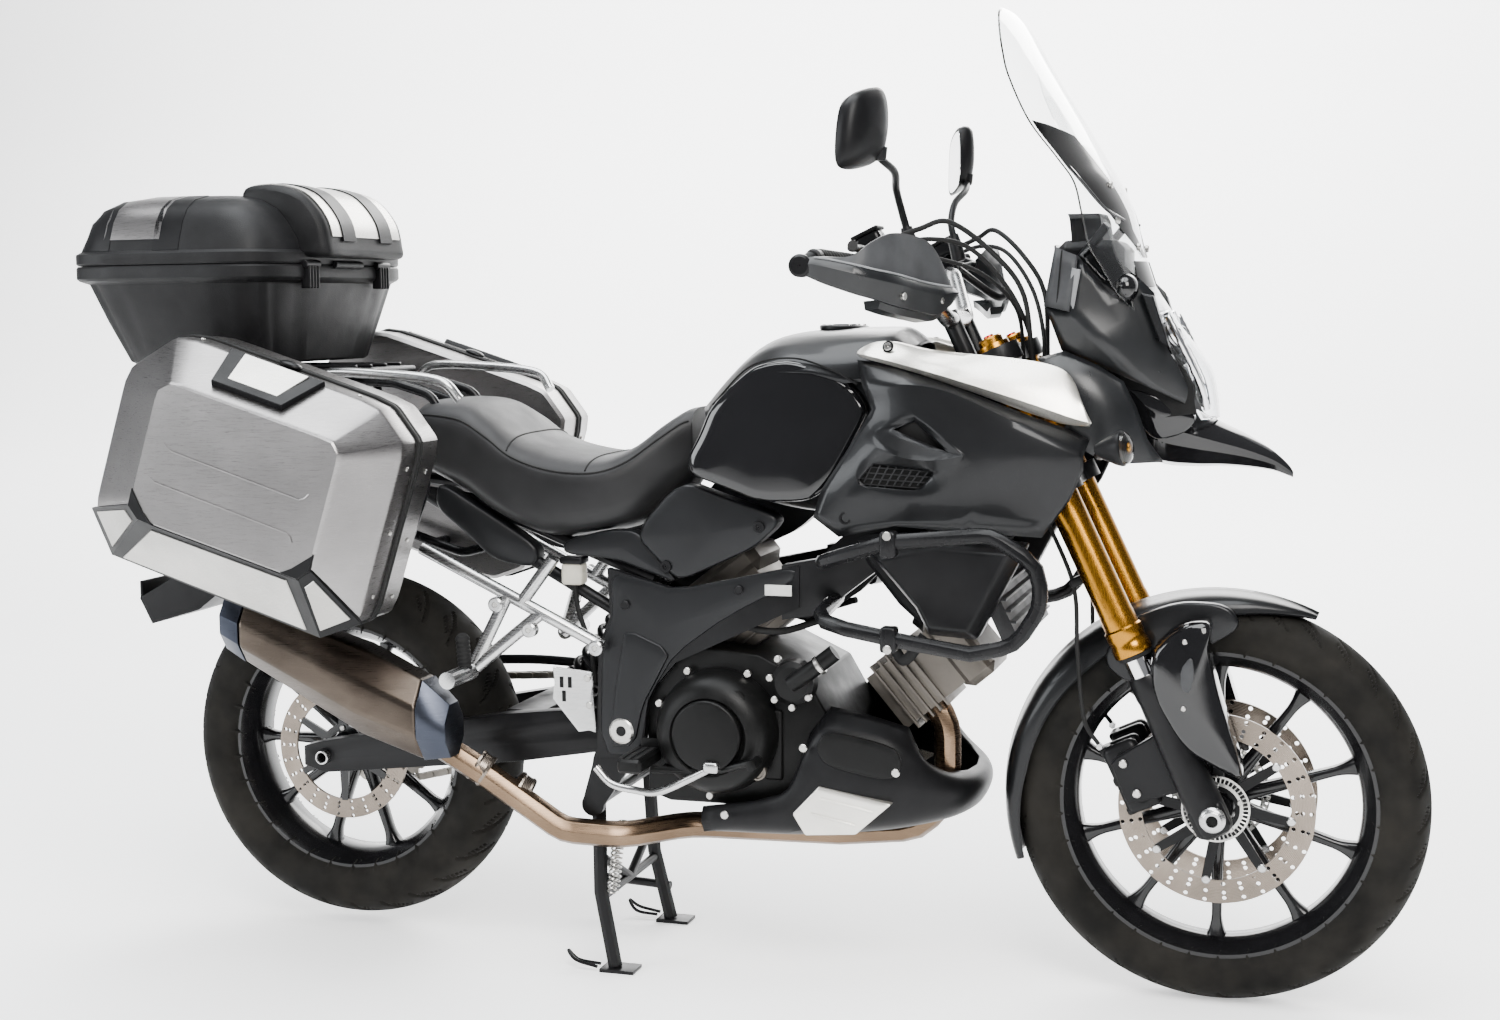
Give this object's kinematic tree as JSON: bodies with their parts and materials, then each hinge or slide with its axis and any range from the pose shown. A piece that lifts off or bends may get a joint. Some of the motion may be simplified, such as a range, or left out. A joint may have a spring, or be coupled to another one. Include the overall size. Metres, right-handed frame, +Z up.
{
  "type": "motorcycle",
  "caption": "Tall touring motorcycle on its centre stand, with hard luggage cases, crash bars, hand guards and a high clear screen; wheels, steering, stands and case lids move.",
  "frame": {"origin": "middle of the bounding box's base, on the floor", "axes": "+X forward, +Y to the rider's left, +Z up"},
  "size_m": [2.304, 0.98, 1.6],
  "materials": {
    "tyre": "matt",
    "black_metal": "satin",
    "disc_steel": "drilled and ground",
    "gold": "anodised satin",
    "bright_steel": "polished",
    "silver_metal": "satin",
    "engine_metal": "cast",
    "pipe_metal": "heat tinted",
    "black_plastic": "satin",
    "grey_plastic": "satin metallic",
    "gloss_black": "gloss",
    "champagne": "satin metallic",
    "vinyl": "grained",
    "clear": "clear",
    "lamp": "clear lens over a reflector",
    "case_metal": "brushed"
  },
  "bodies": {
    "chassis": {"main_frame": "black_metal", "rear_subframe": "black_metal", "engine_case": "engine_metal", "engine_covers": "engine_metal", "cylinders": "engine_metal", "radiator": "black_metal", "radiator_shrouds": "black_plastic", "swingarm": "black_metal", "swingarm_axles": "black_metal", "rear_shock": "bright_steel", "exhaust_pipe": "pipe_metal", "muffler": "pipe_metal", "muffler_caps": "black_plastic", "crash_bars": "black_metal", "foot_controls": "silver_metal", "foot_hangers": "silver_metal", "rear_caliper": "black_metal", "fuel_tank": "grey_plastic", "seat": "vinyl", "silver_trims": "champagne", "tank_sides": "gloss_black", "fairings": "grey_plastic", "side_covers": "grey_plastic", "headlight": "lamp", "cowl_sides": "black_plastic", "beak": "gloss_black", "instrument_panel": "black_plastic", "windscreen": "clear", "tail_cover": "black_plastic", "rear_fender": "black_plastic", "lamps": "lamp", "case_bases": "case_metal", "luggage_racks": "silver_metal", "top_case_base": "black_plastic", "drive_chain": "disc_steel", "belly_guard": "black_plastic"},
    "steering": {"triple_clamps": "black_metal", "fork_tubes": "gold", "fork_stanchions": "bright_steel", "fork_feet": "black_metal", "fork_guards": "black_plastic", "front_fender": "grey_plastic", "handlebar": "silver_metal", "grips_and_levers": "black_plastic", "mirrors": "black_plastic", "hand_guards": "black_plastic", "front_calipers": "black_metal"},
    "front_wheel": {"front_tyre": "tyre", "front_rim": "black_metal", "front_discs": "disc_steel"},
    "rear_wheel": {"rear_tyre": "tyre", "rear_rim": "black_metal", "rear_disc": "disc_steel", "rear_sprocket": "disc_steel"},
    "centre_stand": {"centre_stand": "black_metal"},
    "side_stand": {"side_stand": "black_metal"},
    "left_case_lid": {"left_case_lid": "case_metal"},
    "right_case_lid": {"right_case_lid": "case_metal"},
    "top_case_lid": {"top_case_lid": "case_metal"}
  },
  "joints": [
    {"name": "steering", "type": "hinge", "parent": "chassis", "child": "steering", "pos_m": [0.78403, 0, 0.31083], "axis": [-0.4226, 0, 0.9063], "range_deg": [-35, 35]},
    {"name": "front_wheel_spin", "type": "hinge", "parent": "steering", "child": "front_wheel", "pos_m": [0.823, 0, 0.329], "axis": [0, 1, 0], "continuous": true},
    {"name": "rear_wheel_spin", "type": "hinge", "parent": "chassis", "child": "rear_wheel", "pos_m": [-0.732, 0, 0.341], "axis": [0, 1, 0], "continuous": true},
    {"name": "centre_stand", "type": "hinge", "parent": "chassis", "child": "centre_stand", "pos_m": [-0.21, 0, 0.291], "axis": [0, 1, 0], "range_deg": [0, 76]},
    {"name": "side_stand", "type": "hinge", "parent": "chassis", "child": "side_stand", "pos_m": [-0.062, 0.163, 0.268], "axis": [0, -0.9472, -0.3206], "range_deg": [0, 100]},
    {"name": "left_case_lid", "type": "hinge", "parent": "chassis", "child": "left_case_lid", "pos_m": [-0.776, 0.34, 0.67], "axis": [-0.9511, 0, 0.309], "range_deg": [0, 90]},
    {"name": "right_case_lid", "type": "hinge", "parent": "chassis", "child": "right_case_lid", "pos_m": [-0.776, -0.34, 0.67], "axis": [0.9511, 0, -0.309], "range_deg": [0, 90]},
    {"name": "top_case_lid", "type": "hinge", "parent": "chassis", "child": "top_case_lid", "pos_m": [-0.73, 0, 1.2186], "axis": [0, 1, 0], "range_deg": [0, 75]}
  ]
}
